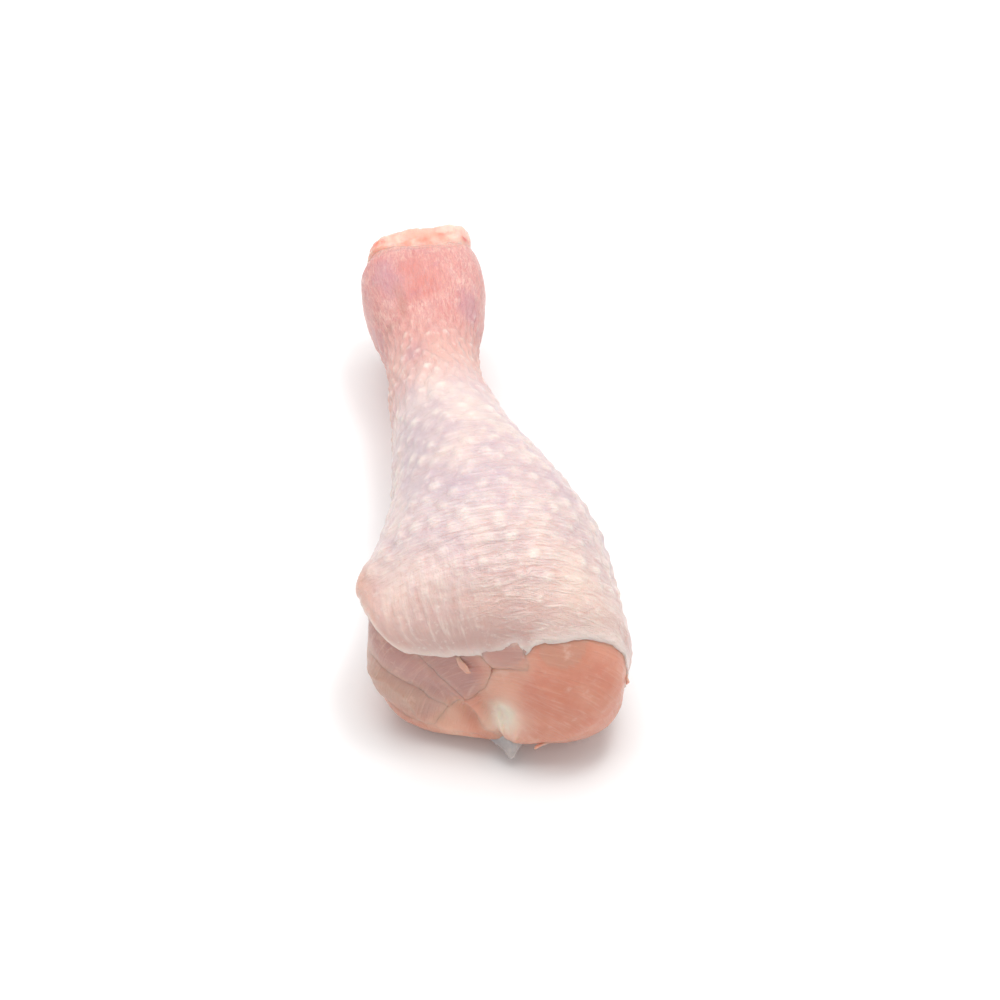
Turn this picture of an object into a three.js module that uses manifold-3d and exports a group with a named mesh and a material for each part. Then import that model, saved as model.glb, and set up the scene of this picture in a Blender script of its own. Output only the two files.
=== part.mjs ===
// A raw chicken drumstick that lies on a table: muscles round the shin bone, soft tissue round the ankle, and
// the skin pulled over them like a sock that stops short of the knee.
// Millimetres, +Z up. The drumstick lies along Y, with the knee at low Y and the ankle, or hock, at high Y.
import * as THREE from "three";
import Module from "manifold-3d";
import { mergeVertices } from "three/addons/utils/BufferGeometryUtils.js";

const wasm = await Module();
wasm.setup();

// Driving dimensions.
const LENGTH = 131; // from the knee end of the meat to the hock rim
const WIDTH = 55.5; // of the meat where it is widest
const HEIGHT = 50; // of the meat where it is thickest
const SKIN_THICKNESS = 1.2;
const GAP = 0.3; // between neighbouring pieces
const SKIN_ROOM = 0.9; // between the meat and the skin over it, which are faceted differently
const FLOOR_OF_MEAT = SKIN_THICKNESS + SKIN_ROOM; // the meat lies on the skin, which lies on the table
const SAG = 0.44; // height of the widest point, as a share of a section's height
const MUSCLES_END = 0.74 * LENGTH; // where the muscles give way to the tissue of the ankle
const SKIN_HOCK_EDGE = 0.972 * LENGTH; // the hock tissue stands out of the skin past this

// Outline of the meat at each station: y in percent of LENGTH, how far it reaches to the left and right of the
// middle in percent of WIDTH, its top and bottom in percent of HEIGHT, and how square the section is.
const SECTIONS = [
  { y: 8, left: 44, right: 55, top: 86, bottom: -1, square: 2.7 },
  { y: 18, left: 41, right: 53, top: 96, bottom: -2, square: 2.45 },
  { y: 28, left: 33, right: 51, top: 99, bottom: -2, square: 2.35 },
  { y: 41, left: 22, right: 38, top: 94, bottom: 1, square: 2.2 },
  { y: 50, left: 19.5, right: 28, top: 87, bottom: 9, square: 2.1 },
  { y: 58, left: 17, right: 22, top: 80, bottom: 17, square: 2.1 },
  { y: 67, left: 16, right: 16, top: 73, bottom: 26, square: 2.1 },
  { y: 75, left: 15, right: 15, top: 69, bottom: 31, square: 2.2 },
  { y: 85, left: 20, right: 21, top: 71, bottom: 33, square: 2.6 },
  { y: 93, left: 21, right: 21, top: 72, bottom: 33, square: 3.2 },
  { y: 100, left: 18, right: 18, top: 72, bottom: 35, square: 3.8 },
];
const WAVES = [
  { share: 0.012, lengthways: 0.11, round: 3 }, // slight waves that keep the flank from looking turned
  { share: 0.01, lengthways: 0.07, round: -2 },
];

// The knee end is a dome round the bone: long and round on top, short and blunt at the sides and below.
const KNEE_DOME = { topDepth: 28, sideDepth: 10, topBluntness: 2, sideBluntness: 3.2 };
const KNEE_END = { right: -0.5, left: 10.5 };

// Shin bone: its line in millimetres, and its half width, rise and drop at each percent of LENGTH, with the
// knee head and the hock knuckle.
const BONE_LINE = { kneeX: 4, kneeZ: 7.6, hockX: 0, hockZ: 26.5 };
const BONE_SECTIONS = [
  { y: 2.4, side: 1.2, up: 1.0, down: 5.0 },
  { y: 4.2, side: 4.6, up: 3.6, down: 6.4 },
  { y: 7.5, side: 8.2, up: 6.0, down: 6.8 },
  { y: 13, side: 8.0, up: 6.4, down: 6.6 },
  { y: 23, side: 5.4, up: 5.2, down: 5.2 },
  { y: 39, side: 4.5, up: 4.5, down: 4.5 },
  { y: 67, side: 4.2, up: 4.2, down: 4.2 },
  { y: 82, side: 5.6, up: 4.6, down: 4.6 },
  { y: 92, side: 8.6, up: 5.8, down: 5.8 },
  { y: 98, side: 8.2, up: 5.6, down: 5.6 },
  { y: 100.7, side: 5.2, up: 3.2, down: 3.2 },
];

// Seams between the muscles. Angles go round from the right side over the top, in degrees. A seam curls by so
// many degrees on its way over the knee end to the bone, the later the higher its "late" power is, and keeps
// "clear" degrees free on each side at the bone.
const SEAMS = {
  right: { flank: 92, curl: -115, late: 4.5, clear: 9 },
  top: { flank: 112, curl: -12, late: 1.3, clear: 4 },
  left: { flank: 140, curl: 18, late: 1.3, clear: 4 },
  side: { flank: 176, curl: 0, late: 1.3, clear: 3 },
  under: { flank: 202, curl: 14, late: 1.3, clear: 4 },
  belly: { flank: 300, curl: 22, late: 1.3, clear: 7 },
};
const FLANK_CLEARANCE = 1.7; // degrees kept free on each side of every seam on the flank
const MUSCLES = [
  { name: "outer_calf_muscle", from: SEAMS.belly, to: SEAMS.right, colour: 0xd59079 },
  { name: "thin_top_muscle", from: SEAMS.right, to: SEAMS.top, colour: 0xc78f80 },
  { name: "inner_calf_muscle", from: SEAMS.top, to: SEAMS.left, colour: 0xb98b80 },
  { name: "shin_muscle", from: SEAMS.left, to: SEAMS.side, colour: 0xbd9288 },
  { name: "side_muscle", from: SEAMS.side, to: SEAMS.under, colour: 0xc59b8a },
  { name: "deep_muscle", from: SEAMS.under, to: SEAMS.belly, colour: 0xcf8f7c },
];
const SEAM_GROOVE = { depth: 1.4, halfWidth: 6 }; // millimetres, degrees
const MUSCLE_TIP = 0.16; // how near the bone's end the muscles reach, on the "along" scale

// Knee edge of the skin: how far along the meat it starts at each angle. 0 is the bone, 1 the rim of the dome,
// and each further 1 is FLANK_STEP millimetres on towards the hock.
const FLANK_STEP = 20;
const SKIN_KNEE_EDGE = [
  { angle: 2, along: 0.87 },
  { angle: 24, along: 0.77 },
  { angle: 41, along: 0.63 },
  { angle: 56, along: 0.5 },
  { angle: 68, along: 0.44 },
  { angle: 75, along: 0.375 },
  { angle: 98, along: 0.38 },
  { angle: 119, along: 0.385 },
  { angle: 137, along: 0.4 },
  { angle: 145, along: 0.47 },
  { angle: 152, along: 0.64 },
  { angle: 158, along: 0.87 },
  { angle: 165, along: 1.2 },
  { angle: 180, along: 1.45 },
  { angle: 215, along: 1.4 },
  { angle: 260, along: 1.2 },
  { angle: 320, along: 1.05 },
];
const SKIN_FLAP = { angle: 161, along: 1.2, reach: 2.4, angleWidth: 18, alongWidth: 0.28 }; // fat at the edge

// How finely each piece is faceted.
const FACETS = {
  skinRound: 50,
  skinAlong: 22,
  muscleArcStep: 9, // degrees
  muscleCap: 8,
  muscleFlank: 12,
  boneRound: 12,
  boneAlong: 20,
  ankleRound: 24,
};
const ANKLE_ROWS = [0, 0.2, 0.4, 0.58, 0.74, 0.87, 0.95, 1];
const ANKLE_ROUNDING = { nearRim: 0.6, atRim: 2.2 };

const DEGREE = Math.PI / 180;
const mix = THREE.MathUtils.lerp;
const bell = (distance, width) => Math.exp(-((distance / width) ** 2));
const signedPower = (value, power) => Math.sign(value) * Math.abs(value) ** power;

// The shortest way round from one angle to another, in degrees.
function turn(from, to) {
  return THREE.MathUtils.euclideanModulo(to - from + 180, 360) - 180;
}

// A smooth value of one key of a table, at a place on the key that the table is ordered by.
function through(table, key, at, order = "y") {
  const last = table.length - 1;
  const place = THREE.MathUtils.clamp(at, table[0][order], table[last][order]);
  const past = table.findIndex((row) => row[order] > place);
  const i = past < 0 ? last - 1 : past - 1;
  const slope = (k) => {
    const [a, b] = [table[Math.max(0, k - 1)], table[Math.min(last, k + 1)]];
    return (b[key] - a[key]) / (b[order] - a[order]);
  };
  const span = table[i + 1][order] - table[i][order];
  const t = (place - table[i][order]) / span;
  const ends = mix(table[i][key], table[i + 1][key], t * t * (3 - 2 * t));
  return ends + span * t * (1 - t) * ((1 - t) * slope(i) - t * slope(i + 1));
}

// The same for a table whose order is an angle on the full circle.
function throughRound(table, key, angle) {
  const turned = THREE.MathUtils.euclideanModulo(angle, 360);
  const before = table.slice(-2).map((row) => ({ ...row, angle: row.angle - 360 }));
  const after = table.slice(0, 2).map((row) => ({ ...row, angle: row.angle + 360 }));
  return through([...before, ...table, ...after], key, turned, "angle");
}

function bonePoint(y) {
  const share = y / LENGTH;
  return new THREE.Vector3(
    mix(BONE_LINE.kneeX, BONE_LINE.hockX, share),
    y,
    mix(BONE_LINE.kneeZ, BONE_LINE.hockZ, share),
  );
}

// A point of the meat's flank at a station, going round by an angle in degrees. The belly is pressed flat.
function flankPoint(y, angle) {
  const part = (key, whole) => (through(SECTIONS, key, (100 * y) / LENGTH) * whole) / 100;
  const [left, right] = [part("left", WIDTH), part("right", WIDTH)];
  const [top, bottom] = [part("top", HEIGHT), part("bottom", HEIGHT)];
  const power = 2 / part("square", 100);
  const cos = signedPower(Math.cos(angle * DEGREE), power);
  const sin = signedPower(Math.sin(angle * DEGREE), power);
  const swell = WAVES.reduce(
    (sum, wave) => sum + wave.share * Math.sin(wave.lengthways * y + wave.round * angle * DEGREE),
    1,
  );
  const middle = mix(bottom, top, SAG);
  const reach = sin > 0 ? top - middle : middle - bottom;
  return new THREE.Vector3(
    (right - left) / 2 + ((right + left) / 2) * swell * cos,
    y,
    Math.max(FLOOR_OF_MEAT, middle + reach * swell * sin),
  );
}

// How the knee dome lies at an angle: where it ends, how deep it is and how blunt.
function kneeDome(angle) {
  const cos = Math.cos(angle * DEGREE);
  const sin = Math.sin(angle * DEGREE);
  const up = Math.max(0, sin) ** 1.5;
  return {
    end: mix(KNEE_END.left, KNEE_END.right, (cos + 1) / 2),
    depth: mix(KNEE_DOME.sideDepth, KNEE_DOME.topDepth, up),
    bluntness: mix(KNEE_DOME.sideBluntness, KNEE_DOME.topBluntness, up),
  };
}

// The meat's smooth outer form. Along runs from 0 at the bone, over the knee dome to 1, then on down the flank.
function meatForm(along, angle) {
  const dome = kneeDome(angle);
  const rimY = dome.end + dome.depth;
  if (along >= 1) return flankPoint(rimY + (along - 1) * FLANK_STEP, angle);
  const turned = Math.max(along, 0.001) * 90 * DEGREE;
  const outward = Math.sin(turned) ** (2 / dome.bluntness);
  const y = rimY - dome.depth * Math.cos(turned) ** (2 / dome.bluntness);
  return bonePoint(rimY).lerp(flankPoint(rimY, angle), outward).setY(y);
}

// Where a station of the flank lies on the "along" scale at an angle.
function alongAt(y, angle) {
  const dome = kneeDome(angle);
  return 1 + (y - dome.end - dome.depth) / FLANK_STEP;
}

// The form pushed out along its own normal, never below a floor.
function pushedOut(along, angle, distance, floor) {
  const step = { along: 0.01, angle: 0.6 };
  const lengthways = meatForm(along + step.along, angle).sub(meatForm(Math.max(0, along - step.along), angle));
  const round = meatForm(along, angle + step.angle).sub(meatForm(along, angle - step.angle));
  const normal = lengthways.cross(round).normalize();
  const point = meatForm(along, angle).addScaledVector(normal, distance);
  return point.setZ(Math.max(floor, point.z));
}

function seamAngle(seam, along) {
  return seam.flank + seam.curl * Math.max(0, 1 - along) ** seam.late;
}

// The meat's surface with a groove sunk at each seam between muscles.
function muscleSurface(along, angle) {
  const grooves = Object.values(SEAMS).map((seam) => bell(turn(seamAngle(seam, along), angle), SEAM_GROOVE.halfWidth));
  return pushedOut(along, angle, -SEAM_GROOVE.depth * Math.max(...grooves), FLOOR_OF_MEAT);
}

// The faces between two neighbouring rings of points, each four-sided patch cut on its shorter diagonal.
function facesBetween(points, size, i, k) {
  return Array.from({ length: size }, (_, j) => {
    const next = (j + 1) % size;
    const [a, b, c, d] = [i * size + j, i * size + next, k * size + next, k * size + j];
    const shorter = points[a].distanceTo(points[c]) <= points[b].distanceTo(points[d]);
    return shorter ? [a, b, c, a, c, d] : [a, b, d, b, c, d];
  }).flat();
}

// A closed solid from rings of points. The end rings are each closed by a fan, or joined to each other.
function solidFromRings(rings, joinEnds = false) {
  const size = rings[0].length;
  const last = rings.length - 1;
  const points = rings.flat();
  const faces = rings.slice(1).flatMap((_, i) => facesBetween(points, size, i, i + 1));
  if (joinEnds) {
    faces.push(...facesBetween(points, size, last, 0));
  } else {
    const middleOf = (ring) => ring.reduce((sum, p) => sum.add(p), new THREE.Vector3()).divideScalar(size);
    points.push(middleOf(rings[0]), middleOf(rings[last]));
    for (let j = 0; j < size; j += 1) {
      const next = (j + 1) % size;
      faces.push(points.length - 2, next, j);
      faces.push(points.length - 1, last * size + j, last * size + next);
    }
  }
  return solidOf(new THREE.BufferGeometry().setFromPoints(points).setIndex(faces));
}

// A geometry as a manifold-3d solid, facing out.
function solidOf(geometry) {
  const merged = mergeVertices(geometry, 1e-3);
  const vertProperties = merged.attributes.position.array;
  const make = (triVerts) => new wasm.Manifold(new wasm.Mesh({ numProp: 3, vertProperties, triVerts }));
  const triangles = new Uint32Array(merged.index.array);
  const solid = make(triangles);
  return solid.volume() < 0 ? make(triangles.toReversed()) : solid;
}

// The largest single body of a cut solid, without the slivers that a cut may leave.
function mainBody(solid) {
  return solid.decompose().reduce((a, b) => (b.volume() > a.volume() ? b : a));
}

function meshOf(solid, name, colour, roughness) {
  const { vertProperties, triVerts } = solid.getMesh();
  const geometry = new THREE.BufferGeometry();
  geometry.setAttribute("position", new THREE.BufferAttribute(vertProperties, 3));
  geometry.setIndex(new THREE.BufferAttribute(triVerts, 1));
  geometry.computeVertexNormals();
  const mesh = new THREE.Mesh(geometry, new THREE.MeshStandardMaterial({ color: colour, roughness, metalness: 0 }));
  mesh.name = name;
  return mesh;
}

// The shin bone with its two heads, grown by a clearance.
function boneSolid(clearance) {
  const [first, last] = [BONE_SECTIONS[0].y, BONE_SECTIONS.at(-1).y];
  const rings = Array.from({ length: FACETS.boneAlong + 1 }, (_, i) => {
    const share = i / FACETS.boneAlong;
    const closerAtHeads = share - 0.07 * Math.sin(2 * Math.PI * share);
    const percent = mix(first, last, closerAtHeads);
    const centre = bonePoint((percent * LENGTH) / 100);
    const [side, up, down] = ["side", "up", "down"].map((key) => through(BONE_SECTIONS, key, percent) + clearance);
    return Array.from({ length: FACETS.boneRound }, (_, j) => {
      const angle = (j / FACETS.boneRound) * 2 * Math.PI;
      const height = Math.sin(angle) > 0 ? up : down;
      const out = new THREE.Vector3(side * Math.cos(angle), clearance * (2 * share - 1), height * Math.sin(angle));
      return out.add(centre);
    });
  });
  return solidFromRings(rings);
}

// Two points by the bone's line, a hair to the outer side of each wall of a muscle.
function innerCorners(arc) {
  return [[arc.at(-1), -GAP], [arc[0], GAP]].map(([point, offset]) => {
    const foot = bonePoint(point.y);
    const outward = point.clone().sub(foot).setY(0).normalize();
    return foot.add(new THREE.Vector3(-outward.z, 0, outward.x).multiplyScalar(offset));
  });
}

// One muscle: a wedge from the bone's line out to the meat's surface, between two seams.
function muscleSolid({ from, to }, boneRoom) {
  const cap = Array.from({ length: FACETS.muscleCap }, (_, i) => mix(MUSCLE_TIP, 1, i / FACETS.muscleCap));
  const flank = Array.from({ length: FACETS.muscleFlank + 1 }, (_, i) => 1 + i / FACETS.muscleFlank);
  const flankSpan = THREE.MathUtils.euclideanModulo(to.flank - from.flank, 360);
  const arcSteps = Math.max(3, Math.round(flankSpan / FACETS.muscleArcStep));
  const rings = [...cap, ...flank].map((row) => {
    const clearance = (seam) => mix(seam.clear, FLANK_CLEARANCE, Math.min(1, row));
    const start = seamAngle(from, row) + clearance(from);
    const span = THREE.MathUtils.euclideanModulo(seamAngle(to, row) - clearance(to) - start, 360);
    const arc = Array.from({ length: arcSteps + 1 }, (_, j) => {
      const angle = start + (span * j) / arcSteps;
      const along = row < 1 ? row : mix(1, alongAt(MUSCLES_END, angle), row - 1);
      return muscleSurface(along, angle);
    });
    return [...arc, ...innerCorners(arc)];
  });
  return mainBody(solidFromRings(rings).subtract(boneRoom));
}

// The tissue of the ankle, from the muscles' end to the hock rim, rounded at the rim.
function ankleSolid(boneRoom) {
  const last = ANKLE_ROWS.length - 1;
  const rings = ANKLE_ROWS.map((share, i) => {
    const y = mix(MUSCLES_END + GAP, LENGTH, share);
    const inset = { [last - 1]: ANKLE_ROUNDING.nearRim, [last]: ANKLE_ROUNDING.atRim }[i] ?? 0;
    return Array.from({ length: FACETS.ankleRound }, (_, j) => {
      const angle = (j / FACETS.ankleRound) * 360;
      return pushedOut(alongAt(y, angle), angle, -inset, 0);
    });
  });
  return mainBody(solidFromRings(rings).subtract(boneRoom));
}

// How far the skin's outer side stands off the meat: its own thickness and the fat under the flap at its edge.
function skinDepth(along, angle) {
  const round = bell(turn(SKIN_FLAP.angle, angle), SKIN_FLAP.angleWidth);
  const lengthways = bell(along - SKIN_FLAP.along, SKIN_FLAP.alongWidth);
  return SKIN_ROOM + SKIN_THICKNESS + SKIN_FLAP.reach * round * lengthways;
}

// The skin: out over the meat from the hock to the knee edge, round the edge and back inside.
function skinSolid() {
  const ring = (share, inside) =>
    Array.from({ length: FACETS.skinRound }, (_, j) => {
      const angle = (j / FACETS.skinRound) * 360;
      const edge = throughRound(SKIN_KNEE_EDGE, "along", angle);
      const along = mix(edge, alongAt(SKIN_HOCK_EDGE, angle), share ** 1.15);
      return inside
        ? pushedOut(along, angle, SKIN_ROOM, SKIN_THICKNESS)
        : pushedOut(along, angle, skinDepth(along, angle), 0);
    });
  const towardsHock = Array.from({ length: FACETS.skinAlong + 1 }, (_, i) => i / FACETS.skinAlong);
  const outer = towardsHock.toReversed().map((share) => ring(share, false));
  const inner = towardsHock.map((share) => ring(share, true));
  return solidFromRings([...outer, ...inner], true);
}

// Puts the origin at the bottom centre of everything in the group.
function centredOnFloor(pieces) {
  const box = new THREE.Box3().setFromObject(pieces);
  const middle = box.getCenter(new THREE.Vector3());
  pieces.position.set(-middle.x, -middle.y, -box.min.z);
  return new THREE.Group().add(pieces);
}

const boneRoom = boneSolid(GAP);
const pieces = new THREE.Group();
pieces.add(meshOf(boneSolid(0), "shin_bone", 0xd9d3cc, 0.4));
for (const muscle of MUSCLES) pieces.add(meshOf(muscleSolid(muscle, boneRoom), muscle.name, muscle.colour, 0.4));
pieces.add(meshOf(ankleSolid(boneRoom), "ankle_tissue", 0xf2a58c, 0.45));
pieces.add(meshOf(skinSolid(), "skin", 0xe9d0c8, 0.5));

export default centredOnFloor(pieces);
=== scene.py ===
"""A raw chicken drumstick: skin, six muscles, shin bone and ankle tissue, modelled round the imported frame.

Lengths inside the modelling code are in millimetres and angles in radians, unless a name says degrees.
"""

import itertools
import math

import bpy
import numpy as np
from bpy.props import FloatProperty, FloatVectorProperty, PointerProperty
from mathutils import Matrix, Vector
from mathutils.bvhtree import BVHTree


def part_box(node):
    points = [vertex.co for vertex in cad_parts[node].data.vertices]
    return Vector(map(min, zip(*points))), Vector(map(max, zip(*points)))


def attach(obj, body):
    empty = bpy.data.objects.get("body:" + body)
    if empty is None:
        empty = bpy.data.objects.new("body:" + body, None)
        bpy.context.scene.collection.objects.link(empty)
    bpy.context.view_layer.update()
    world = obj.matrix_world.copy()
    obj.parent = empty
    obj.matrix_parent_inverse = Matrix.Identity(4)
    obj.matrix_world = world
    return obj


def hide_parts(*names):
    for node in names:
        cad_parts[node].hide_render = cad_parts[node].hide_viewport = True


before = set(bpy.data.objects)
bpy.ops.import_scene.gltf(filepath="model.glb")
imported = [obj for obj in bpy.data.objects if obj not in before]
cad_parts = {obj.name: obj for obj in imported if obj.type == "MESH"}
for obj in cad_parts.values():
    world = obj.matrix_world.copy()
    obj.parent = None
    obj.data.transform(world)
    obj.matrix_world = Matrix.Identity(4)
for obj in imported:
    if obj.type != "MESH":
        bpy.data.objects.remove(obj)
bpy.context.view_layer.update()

bl_info = {
    "name": "Raw drumstick",
    "version": (1, 0, 0),
    "blender": (4, 5, 0),
    "location": "View3D > Sidebar > Drumstick",
    "description": "Skin, muscles, bone and ankle tissue of a raw chicken drumstick",
    "category": "Object",
}

MM = 0.001
MUSCLES = ("outer_calf_muscle", "thin_top_muscle", "inner_calf_muscle", "shin_muscle", "side_muscle", "deep_muscle")
TURN = 2 * math.pi
# Where the orange flesh over the tip of the bone ends: degrees round the form, and distance along it
TIP_FOLD = ((96, 106, 120, 150, 175, 196), (19, 14.5, 12.8, 12.8, 15, 17.5))
# A middling radius of the form, in millimetres; from how far out rays start; and the meat's where a ray misses it
RADIUS = 25
FAR = 90.0
LEAST_RADIUS = 4.0


# ---- Small numeric helpers


def box_mm(node):
    """Lowest and highest corner of a CAD node, in millimetres."""
    low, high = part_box(node)
    return np.array(low) / MM, np.array(high) / MM


def smooth_step(low, high, value):
    """0 below low, 1 above high, and a smooth rise between."""
    share = np.clip((value - low) / (high - low), 0.0, 1.0)
    return share * share * (3 - 2 * share)


def bell(distance, width):
    """1 at no distance, falling away smoothly over a width."""
    return np.exp(-((distance / width) ** 2))


def mix(a, b, share):
    return a + (b - a) * share


def turn_between(angle, other):
    """The shortest way round from one angle to the other."""
    return (other - angle + math.pi) % TURN - math.pi


def unit(vectors):
    return vectors / np.maximum(np.linalg.norm(vectors, axis=-1, keepdims=True), 1e-9)


def cloud(points, size, seed):
    """Smooth noise from -1 to 1 over points, with features of about one size."""
    cells = 32
    lattice = np.random.default_rng(seed).uniform(-1, 1, (cells, cells, cells))
    place = points / size
    cell = np.floor(place).astype(int)
    share = place - cell
    share = share * share * (3 - 2 * share)
    total = np.zeros(points.shape[:-1])
    for corner in itertools.product((0, 1), repeat=3):
        weight = np.prod(np.where(np.array(corner) == 1, share, 1 - share), axis=-1)
        at = (cell + corner) % cells
        total += weight * lattice[at[..., 0], at[..., 1], at[..., 2]]
    return total


def clouds(points, size, seed, octaves=3):
    """Noise summed over octaves, each half as big and half as strong."""
    layers = [cloud(points, size / 2**k, seed + k) / 2**k for k in range(octaves)]
    return sum(layers) / (2 - 0.5 ** (octaves - 1))


def shifted(field, rows, columns):
    """A field moved by whole cells: round the form it wraps, along it the ends repeat."""
    index = np.clip(np.arange(field.shape[0]) - rows, 0, field.shape[0] - 1)
    return np.roll(field[index], columns, axis=1)


def blurred(field, passes):
    """A field smoothed by repeated small averages."""
    for _ in range(passes):
        field = (shifted(field, 1, 0) + 2 * field + shifted(field, -1, 0)) / 4
        field = (shifted(field, 0, 1) + 2 * field + shifted(field, 0, -1)) / 4
    return field


# ---- The form: the drumstick's outside as a height over a fan of rays along its axis


class Form:
    """Rays from the drumstick's axis, and how far out the meat and the skin lie on each.

    A ray is named by s, the distance along the form, and by the angle phi round it from the right side over the
    top. s runs over the knee dome, then down the flank, then over the hock end.
    """

    def __init__(self, sizes):
        meat_low = np.min([box_mm(name)[0] for name in MUSCLES], axis=0)
        meat_high = np.max([box_mm(name)[1] for name in MUSCLES], axis=0)
        ankle_low, ankle_high = box_mm("ankle_tissue")
        bone_low, _ = box_mm("shin_bone")
        length = ankle_high[1] - meat_low[1]
        self.knee = np.array([(meat_low[0] + meat_high[0]) / 2, meat_low[1] + 0.2 * length, 0.4 * meat_high[2]])
        self.hock = (ankle_low + ankle_high) / 2
        self.hock[1] = ankle_high[1] - 9
        tip = np.array([self.knee[0] + 1, bone_low[1], bone_low[2] + 4])
        self.knee_pole = unit(tip - self.knee)
        self.tip_reach = 26.0
        self.knee_arc = 40.0
        self.hock_arc = 16.0
        self.flank = self.hock[1] - self.knee[1]
        self.end = self.knee_arc + self.flank + self.hock_arc
        grid = sizes.grid / MM
        self.rows = int(self.end / grid)
        self.columns = int(TURN * RADIUS / grid)
        self.step = self.end / (self.rows - 1)
        self.s = np.linspace(0, self.end, self.rows)
        self.phi = np.arange(self.columns) * TURN / self.columns
        self.measure()

    def centre(self, s):
        """The axis point a ray starts from."""
        share = np.clip((s - self.knee_arc) / self.flank, 0, 1)[..., None]
        return mix(self.knee, self.hock, share)

    def direction(self, s, phi):
        """The ray's direction: out of the knee end at first, square to the axis on the flank, out of the hock last."""
        around = np.stack([np.cos(phi), np.zeros_like(phi), np.sin(phi)], -1)
        knee_lean = (np.clip(s / self.knee_arc, 0, 1) * math.pi / 2)[..., None]
        hock_lean = (np.clip((self.end - s) / self.hock_arc, 0, 1) * math.pi / 2)[..., None]
        over_knee = np.cos(knee_lean) * self.knee_pole + np.sin(knee_lean) * around
        over_hock = np.cos(hock_lean) * np.array([0.0, 1.0, 0.0]) + np.sin(hock_lean) * around
        return unit(np.where(knee_lean < hock_lean, over_knee, over_hock))

    def cast(self, tree):
        """Distance out to a tree's surface along every ray, and the face it meets, or nan and -1 for a miss."""
        s, phi = np.meshgrid(self.s, self.phi, indexing="ij")
        centres, directions = self.centre(s), self.direction(s, phi)
        reach = np.full(s.shape, np.nan)
        face = np.full(s.shape, -1)
        for i, j in np.ndindex(s.shape):
            start = Vector((centres[i, j] + FAR * directions[i, j]) * MM)
            hit, _, index, distance = tree.ray_cast(start, Vector(-directions[i, j]), FAR * MM)
            if hit is not None:
                reach[i, j] = FAR - distance / MM
                face[i, j] = index
        return reach, face

    def spread(self, field, reach, pick):
        """The largest or smallest value within a reach each way, in millimetres."""
        tall = field
        for _ in range(round(reach / self.step)):
            tall = pick.reduce([tall, shifted(tall, 1, 0), shifted(tall, -1, 0)])
        wide = tall.copy()
        lean = np.clip(self.s / self.knee_arc, 0.03, 1) * math.pi / 2
        round_mm = TURN * np.maximum(field.mean(axis=1), 1) * np.sin(lean)
        for i in range(self.rows):
            cells = min(self.columns // 2, round(reach * self.columns / round_mm[i]))
            for k in range(1, cells + 1):
                wide[i] = pick.reduce([wide[i], np.roll(tall[i], k), np.roll(tall[i], -k)])
        return wide

    def filled(self, field, reach):
        """A field with its hollows narrower than twice a reach filled."""
        return self.spread(self.spread(field, reach, np.maximum), reach, np.minimum)

    def measure(self):
        """Reads the meat's and the skin's height from the frame, and closes the gaps between the muscles."""
        meat_tree, owners = tree_of((*MUSCLES, "ankle_tissue"))
        skin_tree, _ = tree_of(("skin",))
        meat, face = self.cast(meat_tree)
        owner = np.where(face >= 0, owners[face], -1)
        meat = np.where(np.isnan(meat), LEAST_RADIUS, meat)
        closed = self.filled(meat, 3.4)
        sound = (owner >= 0) & (closed - meat < 0.5)
        sound[:6] = False
        owner = grown_labels(np.where(sound, owner, -1))
        self.owner = self.joined_at_tip(owner)
        bare = 1 - smooth_step(40, 52, self.s)[:, None]
        wider = self.filled(meat, 5.5)
        meat = meat + 0.8 * bare * (wider - meat)
        level = np.where(sound, meat, closed)
        for _ in range(900):
            around = shifted(level, 1, 0) + shifted(level, -1, 0) + shifted(level, 0, 1) + shifted(level, 0, -1)
            level = np.where(sound, meat, around / 4)
            level[0] = self.tip_reach
        self.meat = blurred(level, 10)
        skin, face = self.cast(skin_tree)
        on_skin = (face >= 0) & (skin > self.meat - 0.3)
        depth = np.where(on_skin, skin - self.meat, np.nan)
        self.skin = self.meat + blurred(np.where(on_skin, depth, np.nanmedian(depth)), 6)

    def joined_at_tip(self, owner):
        """Who owns each cell, with the muscles' ends over the tip of the bone joined into two smooth lobes."""
        s, degrees = np.meshgrid(self.s, np.degrees(self.phi), indexing="ij")
        number = {name: place for place, name in enumerate(MUSCLES)}
        top = owner == number["thin_top_muscle"]
        owner = np.where(top & (s < 18.2) & (degrees < 180), number["outer_calf_muscle"], owner)
        owner = np.where((s < 20) & (degrees > 98) & (degrees < 128), number["inner_calf_muscle"], owner)
        fold = np.interp(degrees, *TIP_FOLD)
        orange = (s < fold) & (degrees > 20) & (degrees < 196)
        owner = np.where(orange & (degrees < 150), number["outer_calf_muscle"], owner)
        owner = np.where(orange & (degrees >= 150), number["deep_muscle"], owner)
        return np.where((s < 12) & (degrees >= 150) & (degrees < 262), number["deep_muscle"], owner)

    def read(self, field, s, phi):
        """A field's value at any place, between its grid points."""
        row = np.clip(s / self.end * (self.rows - 1), 0, self.rows - 1.001)
        column = (phi / TURN * self.columns) % self.columns
        i, j = row.astype(int), column.astype(int) % self.columns
        a, b = row - i, column - np.floor(column)
        k = (j + 1) % self.columns
        return mix(mix(field[i, j], field[i, k], b), mix(field[i + 1, j], field[i + 1, k], b), a)

    def points(self, s, phi, reach):
        return self.centre(s) + self.direction(s, phi) * reach[..., None]

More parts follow.
